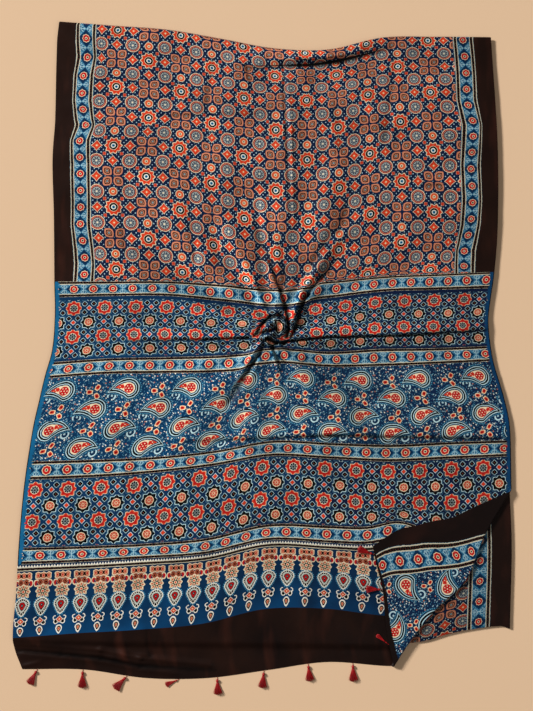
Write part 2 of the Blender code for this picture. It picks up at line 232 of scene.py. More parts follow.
# Mesh rows of the top layer in metres along, and columns of the whole sheet in parts of the width:
# the end of each run and its count. They run along the printed lines.
ROW_RUNS = (
    (0.02, 4), (0.12, 24), (0.277, 26), (0.314, 7), (0.468, 26), (0.505, 7), (0.695, 48), (0.732, 12),
    (0.878, 48), (0.915, 12), (1.05, 34), (1.36, 52), (1.475, 44),
)
COLUMN_RUNS = (
    (0.014, 2), (0.0405, 5), (0.088, 9), (0.36, 40), (0.58, 98), (0.912, 51), (0.9595, 9), (0.986, 5),
    (1.0, 2),
)
ROLL_ROWS = 5
HIDDEN_ROWS = 40
CORNER_CUTS = np.arange(7) * 0.0015
CUT_PAST = 0.01
CUT_WIDE = 0.3
SAME_PLACE = 0.0002

FIELD_START = 0.915
SIDE_BORDER = 0.088


def column(table, index):
    return np.array([row[index] for row in table], float) * MM


def station_values(table):
    return np.array([row[1:] for row in table], float) * MM


ALONG, HEIGHTS = column(CROSS_LINES, 0), station_values(CROSS_LINES)
DRAWN_ALONG, DRAWN_SHIFTS = column(DRAWN_IN, 0), station_values(DRAWN_IN)
TOP_FOLD = ALONG[-1]


def weights(knots, at):
    """A row of cubic weights on the knots for each place in at."""
    knots, at = np.asarray(knots, float), np.atleast_1d(np.asarray(at, float))
    last = len(knots) - 1
    i = np.clip(np.searchsorted(knots, at) - 1, 0, last - 1)
    span = knots[i + 1] - knots[i]
    t = np.clip((at - knots[i]) / span, 0, 1)
    found = np.zeros((len(at), last + 1))
    row = np.arange(len(at))
    np.add.at(found, (row, i), 2 * t**3 - 3 * t**2 + 1)
    np.add.at(found, (row, i + 1), 3 * t**2 - 2 * t**3)
    for end, rise in ((i, t**3 - 2 * t**2 + t), (i + 1, t**3 - t**2)):
        before, after = np.maximum(end - 1, 0), np.minimum(end + 1, last)
        slope = rise * span / (knots[after] - knots[before])
        np.add.at(found, (row, after), slope)
        np.add.at(found, (row, before), -slope)
    return found


def edge_x(table, y):
    rows = sorted(table)
    return weights(column(rows, 0), y) @ column(rows, 1)


def across(s, y, inset=0.0):
    """X of a part of the width at a height on the ground."""
    left = edge_x(LEFT_EDGE, y) + inset
    right = edge_x(RIGHT_EDGE, y) - inset
    return left + s * (right - left)


def top_fold_y(s):
    return weights(STATIONS, s) @ HEIGHTS[-1]


def lower_fold_y(s):
    x = across(s, np.full(len(s), LOWER_FOLD[0][1] * MM))
    return weights(column(LOWER_FOLD, 0), x) @ column(LOWER_FOLD, 1)


def smooth(t):
    t = np.clip(t, 0, 1)
    return t * t * (3 - 2 * t)


def ground(right, down):
    """Metres on the ground, of a pixel of the view."""
    return (right - VIEW_MIDDLE[0]) * PX, (VIEW_MIDDLE[1] - down) * PX


def millimetres(x, y):
    return x * MM, y * MM


def fold_parts(chains, metres, x, y):
    """The straight parts of chains of folds. For each: its height beside every place, the share of
    it that reaches the place, and its half width."""
    for chain in chains:
        for start in range(0, len(chain) - 3, 4):
            x0, y0, h0, half, x1, y1, h1 = chain[start : start + 7]
            (x0, y0), (x1, y1) = metres(x0, y0), metres(x1, y1)
            dx, dy = x1 - x0, y1 - y0
            t = np.clip(((x - x0) * dx + (y - y0) * dy) / (dx * dx + dy * dy), 0, 1)
            off = np.hypot(x - x0 - t * dx, y - y0 - t * dy)
            yield h0 + t * (h1 - h0), np.exp(-((off / (half * MM)) ** 2)), half


def random_field(x, y, z):
    """Smooth random values from about -1 to 1."""
    spots = np.stack(np.broadcast_arrays(x, y, z), axis=1)
    return np.array([noise_field.noise(spot) for spot in spots])


def ray_field(x, y):
    """Random values that run out from the pinch and fade away from it."""
    middle = ground(*PINCH)
    away = np.hypot(x - middle[0], y - middle[1])
    turn = np.arctan2(y - middle[1], x - middle[0])
    fade = np.exp(-((away / RAY_REACH) ** 2)) * smooth(away / RAY_START)
    return fade * random_field(np.cos(turn) * RAYS, np.sin(turn) * RAYS, away * 3)


def relief(x, y):
    """Height of the soft folds at a place on the ground."""
    total = np.zeros(len(x))
    for height, share, _ in fold_parts(FOLDS, millimetres, x, y):
        total = np.hypot(total, height * MM * share)
    return total


def fine_relief(x, y):
    """Height of the creases and ripples that only the looks have."""
    total = RAY_HEIGHT * ray_field(x, y)
    for height, share, _ in fold_parts(CREASES, ground, x, y):
        total += height * MM * share
    for number, (across_count, up_count, height) in enumerate(SLACK):
        total += height * random_field(x * across_count, y * up_count, APART * number)
    return total


def fold_shade(x, y):
    """Painted light and shade of the folds, as a factor on the print: darker down in a crease, lighter
    along a sharp ridge, with painted shade in streaks round the pinch and in soft patches.
    """
    hollow, ridge = np.zeros(len(x)), np.zeros(len(x))
    for height, share, half in fold_parts(CREASES, ground, x, y):
        hollow += np.maximum(-height, 0) * share
        ridge += np.maximum(height, 0) * share * (half < SHARP_FOLD)
    hollow *= 1 + 0.6 * random_field(x * 70, y * 70, 0)
    # Painted shade in streaks that run out from the pinch, and in soft patches everywhere.
    shade_patches = 1 + 0.7 * ray_field(x, y) + 0.28 * random_field(x * 22, y * 26, APART)
    dark = HOLLOW_DARK * (1 - np.exp(-hollow / HOLLOW_HEIGHT))
    light = RIDGE_LIGHT * (1 - np.exp(-ridge / RIDGE_HEIGHT))
    return (1 - dark) * (1 + light) * shade_patches


def gathered(x, y):
    """Moves places on the ground towards the creases that take up cloth."""
    shift_x, shift_y = np.zeros(len(x)), np.zeros(len(x))
    for row in TAKEN_UP:
        (x0, y0), (x1, y1) = ground(*row[:2]), ground(*row[2:4])
        long = math.hypot(x1 - x0, y1 - y0)
        ahead_x, ahead_y = (x1 - x0) / long, (y1 - y0) / long
        t = ((x - x0) * ahead_x + (y - y0) * ahead_y) / long
        off = (y - y0) * ahead_x - (x - x0) * ahead_y
        pull = row[4] * MM * (1 - np.exp(-np.abs(off) / TAKEN_WIDTH))
        pull *= -np.sign(off) * np.exp(-((off / TAKEN_REACH) ** 2))
        pull *= smooth((t + TAKEN_PAST) / TAKEN_FADE) * smooth((1 + TAKEN_PAST - t) / TAKEN_FADE)
        shift_x -= pull * ahead_y
        shift_y += pull * ahead_x
    return x + shift_x, y + shift_y


def twisted(x, y):
    """Turns places on the ground round the middle of the twist."""
    middle = ground(*TWIST)
    from_x, from_y = x - middle[0], y - middle[1]
    turn = TWIST_ANGLE * np.exp(-((np.hypot(from_x, from_y) / TWIST_REACH) ** 2))
    shift_x = from_x * (np.cos(turn) - 1) - from_y * np.sin(turn)
    shift_y = from_x * np.sin(turn) + from_y * (np.cos(turn) - 1)
    return x + shift_x, y + shift_y


def layer_z(layer):
    """Height of a layer's middle, counted from 1 at the bottom."""
    return SHEET_THICKNESS / 2 + (layer - 1) * LAYER_PITCH


def table_value(rows, values, along, s):
    return np.einsum("pi,ij,pj->p", weights(rows, along), values, weights(STATIONS, s))


def top_layer(s, along):
    """The top layer before its corner is turned."""
    y = table_value(ALONG, HEIGHTS, along, s)
    x = across(s, y) + table_value(DRAWN_ALONG, DRAWN_SHIFTS, along, s)
    fall = (LAYERS - 1) * LAYER_PITCH * smooth((lower_fold_y(s) - y) / HEM_DROP)
    rows = sorted(WANDER)
    for number, middle in enumerate(BORDER_MIDDLES, 1):
        shift = np.interp(y, column(rows, 0), column(rows, number))
        x = x + shift * np.exp(-(((s - middle) / WANDER_WIDTH) ** 2)) * (y > rows[0][0] * MM)
    x, y = gathered(*twisted(x, y))
    raised = relief(x, y) + fine_relief(x, y)
    raised = np.maximum(raised, -HOLLOW_SHARE * LAYER_PITCH) * smooth(along / HEM_FLAT)
    raised -= HIGH_SHARE * np.maximum(raised - HIGH_FOLD, 0)
    z = np.maximum(layer_z(LAYERS) - fall + raised, layer_z(1))
    return np.stack([x, y, z], axis=1)


def past_corner_fold(s, along):
    """How far a place is past the corner's fold: 0 on it, 1 at the corner itself."""
    return 1 - along / CORNER_UP_EDGE - (1 - s) * CLOTH_WIDTH / CORNER_ALONG_HEM


def turned(s, along, flat):
    """Turns the lower right corner over to the front."""
    corner = past_corner_fold(s, along)
    inside = corner > 0
    if not inside.any():
        return flat
    slant = math.hypot(CORNER_UP_EDGE, CORNER_ALONG_HEM)
    reach = CORNER_UP_EDGE * CORNER_ALONG_HEM / slant
    up_share = (CORNER_ALONG_HEM / slant) ** 2

    def on_fold(up_part):
        return top_layer(1 - (1 - up_part) * CORNER_ALONG_HEM / CLOTH_WIDTH, up_part * CORNER_UP_EDGE)

    up_part = np.clip(along / CORNER_UP_EDGE + corner * up_share, 0, 1)[inside]
    foot = on_fold(up_part)
    first, last = on_fold(np.array([1.0]))[0], on_fold(np.array([0.0]))[0]
    outward = np.array([last[1] - first[1], first[0] - last[0]])
    outward /= np.hypot(*outward)
    outward *= np.sign(outward[0])
    swing = np.array(CORNER_LANDS) - on_fold(np.array([up_share]))[0][:2]

    past = corner[inside] * reach
    angle = np.clip(past / CORNER_ROLL, 0, math.pi)
    beyond = np.clip(past - math.pi * CORNER_ROLL, 0, None)
    settle = CORNER_LIFT + (2 * CORNER_ROLL - CORNER_LIFT) * np.exp(-beyond / CORNER_SETTLE)
    lift = np.where(beyond > 0, settle, CORNER_ROLL * (1 - np.cos(angle)))
    plan = foot[:, :2] + np.outer(np.sin(angle) * CORNER_ROLL, outward) + np.outer(beyond / reach, swing)
    found = flat.copy()
    found[inside] = np.column_stack([plan, np.maximum(foot[:, 2], layer_z(LAYERS)) + lift])
    return found


def nudged(points, table):
    shift = np.zeros((len(points), 2))
    for row in table:
        x, y, shift_x, shift_y, reach = (value * MM for value in row)
        near = np.exp(-((points[:, 0] - x) ** 2 + (points[:, 1] - y) ** 2) / reach**2)
        shift += np.outer(near, (shift_x, shift_y))
    return points + np.column_stack([shift, np.zeros(len(points))])


def place(s, stage):
    """A point of the sheet. Stage 0 to 1 is the top layer from hem to top fold, then a whole
    number is passed at the end of each roll and each hidden layer."""
    found = np.zeros((len(s), 3))
    for step in range(2 * LAYERS - 1):
        here = (stage >= step) & ((stage < step + 1) | (step == 2 * LAYERS - 2))
        part, t = s[here], stage[here] - step
        if step == 0:
            along = t * TOP_FOLD
            points = nudged(turned(part, along, top_layer(part, along)), NUDGES)
            corner = past_corner_fold(part, along) > 0
            points[corner] = nudged(points[corner], CORNER_NUDGES)
            found[here] = points
            continue
        layer = LAYERS - (step + 1) // 2
        inset = HIDDEN_INSET * (LAYERS - layer)
        top, low = top_fold_y(part), lower_fold_y(part)
        upward = (LAYERS - layer) % 2 == 0
        if step % 2:
            # A half turn from the layer above down to this one, at the top or the lower fold.
            bulge = ROLL_RADIUS * np.sin(t * math.pi)
            y = low - bulge if upward else top + bulge
            z = layer_z(layer) + ROLL_RADIUS * (1 + np.cos(t * math.pi))
            above_inset = HIDDEN_INSET * (LAYERS - layer - 1)
            x = across(part, y, above_inset + (inset - above_inset) * t)
            z = z + relief(x, y) * (1 - t) * (layer == LAYERS - 1)
        else:
            y = low + t * (top - low) if upward else top - t * (top - low)
            z = np.full(len(part), layer_z(layer))
            x = across(part, y, inset)
        found[here] = np.column_stack([x, y, z])
    return found - (*CENTRE_SHIFT, 0)


# ---------------------------------------------------------------- the sheet's mesh


def runs(table):
    """The places that a table of runs gives, from 0 on."""
    found = [0.0]
    for end, count in table:
        found.extend(np.linspace(found[-1], end, count + 1)[1:])
    return np.array(found)


def stages():
    """The mesh rows, as stages of the sheet."""
    found = list(runs(ROW_RUNS) / TOP_FOLD)
    for turn in range(LAYERS - 1):
        found.extend(2 * turn + 1 + np.linspace(0, 1, ROLL_ROWS + 1)[1:])
        found.extend(2 * turn + 2 + np.linspace(0, 1, HIDDEN_ROWS + 1)[1:])
    return np.array(found)


def make_sheet():
    """The whole sheet's points, normals, places on the cloth and faces."""
    columns, rows = runs(COLUMN_RUNS), stages()
    sheet = bmesh.new()
    bmesh.ops.create_grid(sheet, x_segments=len(columns) - 1, y_segments=len(rows) - 1, size=0.5)
    for vert in sheet.verts:
        across_at = round((vert.co.x + 0.5) * (len(columns) - 1))
        row_at = round((vert.co.y + 0.5) * (len(rows) - 1))
        vert.co = (columns[across_at] * CLOTH_WIDTH, rows[row_at] * TOP_FOLD, 0)

    # Lines of the mesh along the corner's fold.
    normal = np.array([CORNER_UP_EDGE, -CORNER_ALONG_HEM]) / math.hypot(CORNER_UP_EDGE, CORNER_ALONG_HEM)
    for cut in CORNER_CUTS:
        on_line = np.array([CLOTH_WIDTH, CORNER_UP_EDGE]) + normal * cut
        low = [vert for vert in sheet.verts if vert.co.y < CORNER_UP_EDGE + CUT_PAST]
        near = [vert for vert in low if vert.co.x > CLOTH_WIDTH - CUT_WIDE]
        edges = {edge for vert in near for edge in vert.link_edges}
        faces = {face for vert in near for face in vert.link_faces}
        bmesh.ops.bisect_plane(
            sheet,
            geom=near + list(edges) + list(faces),
            dist=SAME_PLACE,
            plane_co=(*on_line, 0),
            plane_no=(*normal, 0),
        )
    # Both sides of the cloth are then split along the same lines, so neither shows through.
    bmesh.ops.triangulate(sheet, faces=sheet.faces[:], quad_method="FIXED")
    flat = np.array([vert.co[:2] for vert in sheet.verts])
    for vert, point in zip(sheet.verts, place(flat[:, 0] / CLOTH_WIDTH, flat[:, 1] / TOP_FOLD)):
        vert.co = point
    sheet.verts.index_update()
    mesh = bpy.data.meshes.new("whole_sheet")
    sheet.to_mesh(mesh)
    faces = np.array([[vert.index for vert in face.verts] for face in sheet.faces])
    sheet.free()
    points = np.array([vert.co[:] for vert in mesh.vertices])
    normals = np.array([item.vector[:] for item in mesh.vertex_normals])
    bpy.data.meshes.remove(mesh)
    return points, normals, flat, faces


def boundary(faces):
    """The open edges of a set of faces, in their faces' direction, with the face of each."""
    edges = {}
    for number, face in enumerate(faces):
        for first, second in zip(face, face[1:] + face[:1]):
            if (second, first) in edges:
                del edges[(second, first)]
            else:
                edges[(first, second)] = number
    return edges


def make_object(name, verts, faces, uv_maps):
    """An object of these faces, smooth, with a value of each UV map for each face corner."""
    mesh = bpy.data.meshes.new(name)
    mesh.from_pydata(verts, [], faces)
    for layer, values in uv_maps.items():
        uv = mesh.uv_layers.new(name=layer)
        uv.data.foreach_set("uv", np.array(values, np.float32).ravel())
    mesh.shade_smooth()
    made = bpy.data.objects.new(name, mesh)
    bpy.context.scene.collection.objects.link(made)
    return made


# Places on a piece's bake map: scale and start, across and along. The side that shows gets most of
# it, the other a strip, and the rims a line. A window that shows gets the upper half instead.
SHOWN_MAP = ((1, 0.93), (0, 0.068))
OTHER_MAP = ((1, 0.03), (0, 0.034))
SHOWN_BELOW_WINDOW = ((1, 0.25), (0, 0.034))
OTHER_BELOW_WINDOW = ((1, 0.2), (0, 0.29))
WINDOW_START, WINDOW_TALL = 0.51, 0.48
RIM_LOW, RIM_HIGH = 0.002, 0.03


def make_piece(name, sheet, faces, bake_span, window=None):
    """A closed thin piece from some of the sheet's faces. bake_span is the length of cloth that
    its bake map covers. window is the part of the back that shows."""
    points, normals, flat, _ = sheet
    used, faces = np.unique(faces, return_inverse=True)
    faces, count = faces.reshape(-1, 3).tolist(), len(used)
    points, normals, flat = points[used], normals[used], flat[used]
    s, along = flat[:, 0] / CLOTH_WIDTH, flat[:, 1]
    # Painted light and shade of the creases, one value a point; none on the layers below and the turned
    # corner.
    shade = fold_shade(points[:, 0] + CENTRE_SHIFT[0], points[:, 1] + CENTRE_SHIFT[1])
    shade[(along > TOP_FOLD) | (past_corner_fold(s, along) > 0)] = 1
    half = SHOWN_THICKNESS / 2
    verts = np.concatenate([points + normals * half, points - normals * half])

    start, end = bake_span
    whole_map = np.column_stack([s, (along - start) / (end - start)])
    shown, other = (SHOWN_BELOW_WINDOW, OTHER_BELOW_WINDOW) if window else (SHOWN_MAP, OTHER_MAP)
    maps = [whole_map * scale + begin for scale, begin in (shown, other)]
    if window:
        near, begin, stop = window
        close = WINDOW_START + WINDOW_TALL * (along - begin) / (stop - begin)
        close = np.column_stack([(s - near) / (1 - near), close])
    polygons, kinds, places, baked = [], [], [], []
    for face in faces:
        across_at, along_at = flat[face].mean(axis=0)
        *kinds_here, back_shows = zone(across_at / CLOTH_WIDTH, along_at)
        in_window = window and across_at / CLOTH_WIDTH > near and begin < along_at < stop
        for side, kind in enumerate(kinds_here):
            ring = face[::-1] if side else face
            polygons.append([i + side * count for i in ring])
            kinds.append(kind)
            places.extend(flat[i] for i in ring)
            map_used = close if in_window and side else maps[bool(side) != back_shows]
            baked.extend(map_used[i] for i in ring)
    rims = boundary(faces)
    for number, ((first, second), face) in enumerate(rims.items()):
        polygons.append([first, first + count, second + count, second])
        kinds.append(kinds[2 * face])
        places.extend((flat[first], flat[first], flat[second], flat[second]))
        left, right = number / len(rims), (number + 1) / len(rims)
        baked.extend(((left, RIM_LOW), (left, RIM_HIGH), (right, RIM_HIGH), (right, RIM_LOW)))

    made = make_object(name, verts.tolist(), polygons, {"cloth": places, "OFBake": baked})
    mesh = made.data
    names = sorted(set(kinds))
    for kind in names:
        mesh.materials.append(MATERIALS[kind])
    mesh.polygons.foreach_set("material_index", [names.index(kind) for kind in kinds])
    shaded = mesh.attributes.new("fold_shade", "FLOAT", "POINT")
    shaded.data.foreach_set("value", np.concatenate([shade, shade]).astype(np.float32))
    mesh.normals_split_custom_set_from_vertices(np.concatenate([normals, -normals]).tolist())
    mesh.update()
    return made


# ---------------------------------------------------------------- paint: numbers in nodes

INKS = {
    "black": "090606", "selvage": "1f0f09", "brown": "3a1c13", "navy": "0c1b39", "deep": "0a1536",
    "deepsea": "072846", "blue": "083a60", "bright": "0b4d7e", "teal": "135c84", "sky": "4b90ab",
    "pale": "a2c1c8", "grey": "87908f", "line": "c2c4b8", "frost": "b3d0d4", "edge": "cabfa3",
    "cream": "e6d2ae", "white": "ece5d4", "red": "b3191a", "scarlet": "cf3a1b", "orange": "d75f33",
    "salmon": "cb7f5f", "brick": "a9492e", "flap": "140a08", "thread": "7d0508",
    "thread_light": "a80a0e",
}


class Number:
    """A number in a material's nodes. Arithmetic on it adds Math nodes."""

    tree = None  # of the material that is being painted

    def __init__(self, socket):
        self.socket = socket


def give_operator(name, operation):
    def forward(number, other):
        return reckon(operation, number, other)

    def backward(number, other):
        return reckon(operation, other, number)

    setattr(Number, f"__{name}__", forward)
    setattr(Number, f"__r{name}__", backward)


for name, operation in (
    ("add", "ADD"),
    ("sub", "SUBTRACT"),
    ("mul", "MULTIPLY"),
    ("truediv", "DIVIDE"),
    ("pow", "POWER"),
    ("lt", "LESS_THAN"),
    ("gt", "GREATER_THAN"),
):
    give_operator(name, operation)
Number.__abs__ = lambda number: reckon("ABSOLUTE", number)


def feed(socket, value):
    """Gives a socket a number, an ink's colour, a paint or another node's result."""
    value = value.top if isinstance(value, Paint) else value
    if isinstance(value, Number):
        Number.tree.links.new(value.socket, socket)
    else:
        socket.default_value = ink(value) if isinstance(value, str) else value


def ink(name):
    code = INKS[name]
    parts = [int(code[i : i + 2], 16) / 255 for i in (0, 2, 4)]
    linear = [c / 12.92 if c <= 0.04045 else ((c + 0.055) / 1.055) ** 2.4 for c in parts]
    return (*linear, 1.0)


def add_node(kind, inputs, **settings):
    """Adds a node to the material, and gives all its results."""
    node = Number.tree.nodes.new("ShaderNode" + kind)
    for name, value in settings.items():
        setattr(node, name, value)
    for key, value in inputs.items():
        feed(node.inputs[key], value)
    return [Number(socket) for socket in node.outputs]


def reckon(operation, *values):
    return add_node("Math", dict(enumerate(values)), operation=operation)[0]


def least(first, *others):
    for value in others:
        first = reckon("MINIMUM", first, value)
    return first


def most(first, *others):
    for value in others:
        first = reckon("MAXIMUM", first, value)
    return first


def share(value):
    """The value, kept between 0 and 1."""
    return least(most(value, 0.0), 1.0)


def far(x, y):
    """Length of a step across and along."""
    return reckon("SQRT", x * x + y * y)


def cell(value, pitch):
    """Distance from the nearest whole number, in steps of pitch, and that number."""
    number = reckon("ROUND", value)
    return (value - number) * pitch, number


def odd(value):
    """1 where a whole number is odd."""
    return reckon("FLOORED_MODULO", value, 2.0) > 0.5


def zigzag(value, half):
    """Distance from the nearest multiple of twice half."""
    return reckon("PINGPONG", value, half)


def turns(x, y, count):
    """0 in each of count directions around a middle, 1 halfway between them."""
    return zigzag(reckon("ARCTAN2", y, x) * (count / math.tau), 0.5) * 2.0


def bands(value, text):
    """An ink for each stretch of a number, from text such as "0 black 1.5 cream"."""
    words = text.split()
    starts = [float(word) for word in words[::2]]
    node = Number.tree.nodes.new("ShaderNodeValToRGB")
    ramp = node.color_ramp
    ramp.interpolation = "CONSTANT"
    scale = starts[-1] * 1.001 + 0.001
    ramp.elements.remove(ramp.elements[1])
    for start, name in zip(starts, words[1::2]):
        element = ramp.elements.new(start / scale) if start else ramp.elements[0]
        element.position = start / scale
        element.color = ink(name)
    feed(node.inputs[0], value / scale)
    return Number(node.outputs[0])


class Paint:
    """Inks laid one over the other."""

    def __init__(self, start):
        self.top = start

    def add(self, above, mask):
        """Lays an ink or a paint over this one where mask is 1."""
        self.top = add_node("Mix", {0: mask, 6: self.top, 7: above}, data_type="RGBA")[2]
        return self

    def rings(self, value, text, end, mask=None):
        """Lays bands of ink over this one where value is below end and mask is 1."""
        inside = value < end
        return self.add(bands(value, text), inside * mask if mask else inside)


def noise(u, v, scale, detail=1.0):
    """Soft random values of about 0.5, and the colour with three more."""
    spot = add_node("CombineXYZ", {0: u, 1: v})[0]
    return add_node("TexNoise", {"Vector": spot, "Scale": scale, "Detail": detail}, noise_dimensions="2D")


def scatter(u, v, spacing):
    """Distance from the nearest of some random points, in steps of their spacing."""
    spot = add_node("CombineXYZ", {0: u, 1: v})[0]
    return add_node("TexVoronoi", {"Vector": spot, "Scale": 1 / spacing}, voronoi_dimensions="2D")[0]


WOBBLE = 0.0016


def cloth_place(wobble=0.0):
    """Metres across and along the sheet, unsteady as hand blocks print."""
    u, v, _ = add_node("SeparateXYZ", {0: add_node("UVMap", {}, uv_map="cloth")[0]})
    if not wobble:
        return u, v
    red, green, _ = add_node("SeparateColor", {0: noise(u, v, 170.0)[1]})
    return u + (red - 0.5) * wobble, v + (green - 0.5) * wobble


def view_place():
    """Where a point lies on the ground, in pixels right and down."""
    x, y, _ = add_node("SeparateXYZ", {0: add_node("TexCoord", {})[3]})
    return (x + CENTRE_SHIFT[0]) / PX + VIEW_MIDDLE[0], VIEW_MIDDLE[1] - (y + CENTRE_SHIFT[1]) / PX


# ---------------------------------------------------------------- prints, in pixels of the cloth

DIAGONAL = 0.7071
ROOT_TWO = 1.4142
BEAD = 2.6
RIBBON_SCALE = 0.85  # the side borders are wider on the cloth than the cross borders
SELVAGE_WIDTH = 0.0455


def highlight_streaks(u, v, scale, start, gain):
    """How strong painted highlights of folds are, as soft random streak marks where the noise is above
    start.
    """
    return most(noise(u, v, scale, 2.0)[0] - start, 0.0) * gain


def dots(u, v, spacing, radius):
    """Slanting rows of small dots: 1 in a dot."""
    half = spacing * DIAGONAL
    return far(zigzag(u + v, half), zigzag(u - v, half)) < radius * ROOT_TWO


def beaded(paint, e, c):
    """Adds a black line between two pale ones, with beads: e px from its middle, c px along."""
    gap = (zigzag(c, BEAD / 2) > BEAD * 0.42) * (e < 0.5)
    line = Paint(bands(e, "0 black 1.15 edge 1.85 blue")).add("brick", gap * 0.3)
    return paint.add(line, e < 1.85)


def border_print(e, c, pitch, half=6.9, tall=1.0, flower=4.4):
    """A printed border: e px across from its middle, c in flowers along it, pitch px each. half
    is how far its lines are from its middle, flower is a flower's radius, and tall makes up for a
    print that is drawn out."""
    x, _ = cell(c, pitch)
    off = abs(x)
    between = pitch * 0.5 - off
    scroll = abs(far(between - 0.4, abs(e) - 3.0) - 1.8) < 0.18
    stem = (abs(between) < 0.3) * (abs(e) < 4.5)
    flecks = (scatter(x / 9.0, e / 9.0 + 3.1, 0.2) < 0.24) * 0.8
    comb = (abs(abs(e) - half + 1.9) < 0.4) * (zigzag(x, 0.8) > 0.5)
    paint = Paint("blue").add("sky", most(dots(x, e, 2.3, 0.62), 0.25))
    paint.add("pale", most(scroll, stem, flecks, comb))
    # A dark pointed shape around each flower, then the flower.
    paint.rings(off * 0.78 + abs(e) * 0.86, "0 deepsea 5.5 blue 6.4 sky 6.8 sky", 6.8)
    y = e * tall
    r = far(x, y)
    edge = flower - turns(x, y, 8) * 0.5
    petals = bands(r / edge, "0 black 0.22 cream 0.37 red 0.76 scarlet 0.87 cream 1 red")
    return beaded(paint.add(petals, r < edge), abs(abs(e) - half), c * pitch)


def field_print(shift_u=0.0, shift_v=0.0):
    u, v = cloth_place(WOBBLE)
    u, v = u + shift_u, v + shift_v
    across_at = (u / CLOTH_WIDTH - 0.1365) / 0.07175
    up_at = (v + most(v - 1.352, 0.0) * (v < 1.48) * 0.187 - 0.942) / 0.0684
    (a, nx), (b, ny) = cell(across_at, 31.6), cell(up_at, 30.3)
    (c, _), (d, my) = cell(across_at - 0.5, 31.6), cell(up_at - 0.5, 30.3)
    leaf_place, below_star = odd(nx + ny), odd(nx + my)
    star_place = 1.0 - leaf_place
    paint = Paint("navy").add("pale", dots(u / PX, v / PX, 3.4, 0.62))

    # Four leaves.
    p, q = abs(a) - 5.3, abs(b) - 5.1
    k = far(p, q) * 0.5 + most(abs(p), abs(q)) * 0.52 - abs(p + q) * 0.11
    leaf = "0 grey 0.9 black 1.4 salmon 1.9 black 2.7 salmon 4.0 navy 4.6 navy"
    paint.rings(k, leaf, 4.7, leaf_place)

    # The star.
    r = far(a, b)
    edge = 8.9 - turns(a, b, 10) * 2.0
    star = Paint(bands(r / edge, "0 scarlet 0.9 cream 1.0 navy"))
    star.rings(r, "0 blue 0.9 sky 1.5 white 2.3 black 4.0 cream 4.5 scarlet", 4.4)
    paint.add(star, (r / edge < 1.12) * star_place)

    # Small squares around it.
    k = most(abs(abs(a) - 8.3), abs(abs(b) - 8.1))
    paint.rings(k, "0 scarlet 0.7 red 1.2 salmon 1.6 navy", 1.6, star_place)

    # Large rings.
    r = far(c, d)
    wheel = "0 cream 0.8 grey 1.6 navy 2.1 grey 3.7 line 4.1 navy "
    ring = Paint(bands(r, wheel + "5.0 salmon 5.5 scarlet 6.3 salmon 6.6 cream 7.1 navy"))
    ring.add("navy", (turns(c, d, 20) > 0.5) * (abs(r - 5.95) < 0.45))
    ring.add("deep", (turns(c, d, 8) > 0.55) * (abs(r - 2.9) < 0.7))
    paint.add(ring, r < 7.7)

    # Red diamonds beside the stars and leaves and below each star, a small flower above each star.
    for x, y, mask in ((c, b, None), (a, d, below_star)):
        k = (abs(x) ** 0.85 + abs(y) ** 0.85) ** (1 / 0.85)
        paint.rings(k, "0 cream 1.0 orange 2.2 scarlet 4.0 red 5.1 cream 5.8 navy", 6.8, mask)
    flower = "0 black 0.7 cream 1.5 orange 3.0 scarlet 3.6 cream 4.2 navy"
    paint.rings(far(a, d), flower, 4.8, 1.0 - below_star)

    # Painted shadow: a black line in the deep crease under the lip of the top fold, placed on the ground
    # in pixels of the view, with soft painted shade just below it.
    right, down = view_place()
    off = down - 65.3 + most(right - 300.0, 0.0) ** 1.6 * 0.0139
    half = least((right - 246.0) / 45.0, (392.0 - right) / 30.0, 1.35)
    paint.add("black", least(most(2.2 - abs(off - 2.0), 0.0) * (half > 0.0) * 0.25, 0.5))
    return paint.add("black", share(half - abs(off) + 0.5) * (v < 1.48))


def side_print(first, pitch, step, tall=1.0, lag=0.0):
    """The side border with its dark selvage. The right one's flowers are lower by lag metres."""
    u, v = cloth_place(WOBBLE)
    e = least(u, CLOTH_WIDTH - u)
    v = v + (u > CLOTH_WIDTH / 2) * lag
    paint = border_print((e - 0.0717) / PX * RIBBON_SCALE, (v - first) / pitch, step, 7.9, tall, 3.8)
    # Painted highlights of folds on the selvage, as brown streak marks.
    plain = Paint("selvage").add("brown", highlight_streaks(u, v * 0.25, 30.0, 0.5, 2.0))
    return paint.add(plain, e < SELVAGE_WIDTH)


def plain_edges(paint, u, v):
    """The end piece's print stops short of both edges, in ragged ends over plain blue, and a thin black
    line along both edges is painted shade of their curl.
    """
    ragged = noise(u * 0.3, v, 260.0)[0] * 6.0
    paint.add("teal", u / PX < 2.0 + ragged)
    paint.add("blue", (CLOTH_WIDTH - u) / PX < 2.6 + ragged * 0.6)
    # Painted shade of the curled edges.
    return paint.add("black", least(u, CLOTH_WIDTH - u) / PX < 0.9)


def cross_print(middle, first, pitch):
    u, v = cloth_place(WOBBLE)
    paint = border_print((v - middle) / PX, (u / CLOTH_WIDTH - first) / pitch, pitch * 450)
    return plain_edges(paint, u, v)


